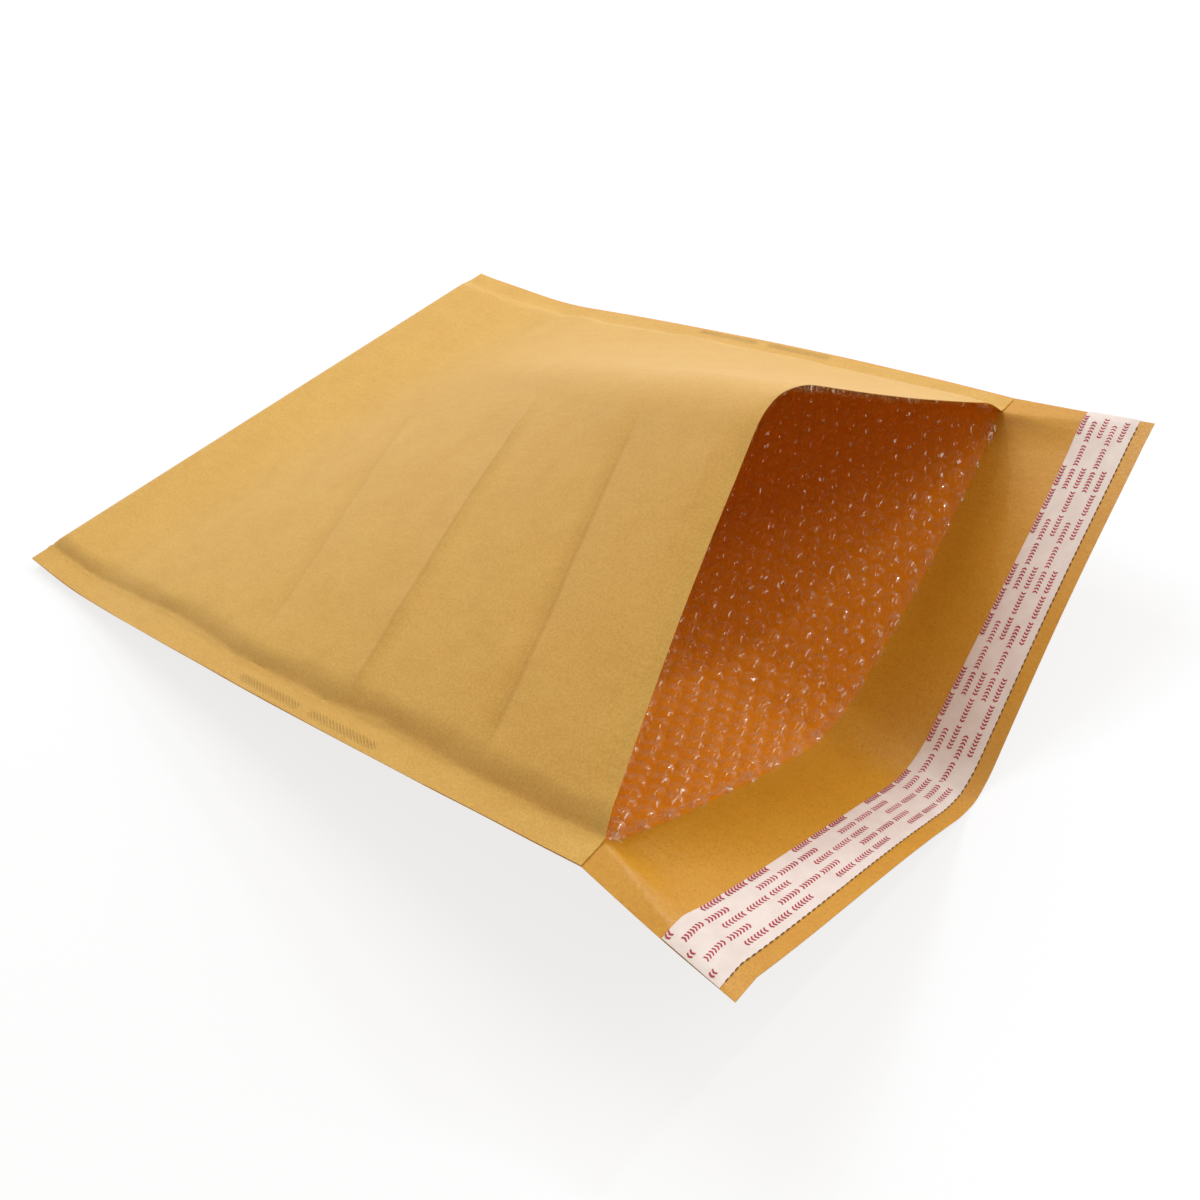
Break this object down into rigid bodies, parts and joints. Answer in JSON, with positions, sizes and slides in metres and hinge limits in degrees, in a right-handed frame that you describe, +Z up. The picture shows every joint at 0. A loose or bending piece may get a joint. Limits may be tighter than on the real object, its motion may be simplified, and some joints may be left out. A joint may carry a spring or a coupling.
{
  "type": "padded envelope",
  "caption": "Padded kraft mailing envelope with a bubble film lining, lying empty with its mouth spread and its flap open.",
  "frame": {"origin": "centre of the envelope's footprint, on the surface that it lies on", "axes": "+X from the closed fold towards the mouth and the flap, +Y across the envelope, +Z up"},
  "size_m": [0.5494, 0.3706, 0.1479],
  "materials": {
    "kraft_paper": "uncoated brown kraft paper with a faint sheen",
    "bubble_film": "clear glossy bubble film bonded to brown kraft paper",
    "adhesive": "tacky clear hot-melt adhesive",
    "release_liner": "smooth silicone-coated white paper with red marks"
  },
  "bodies": {
    "root": {"kraft_cover": "kraft_paper", "bubble_lining": "bubble_film", "adhesive_strip": "adhesive", "release_liner": "release_liner"}
  },
  "joints": []
}
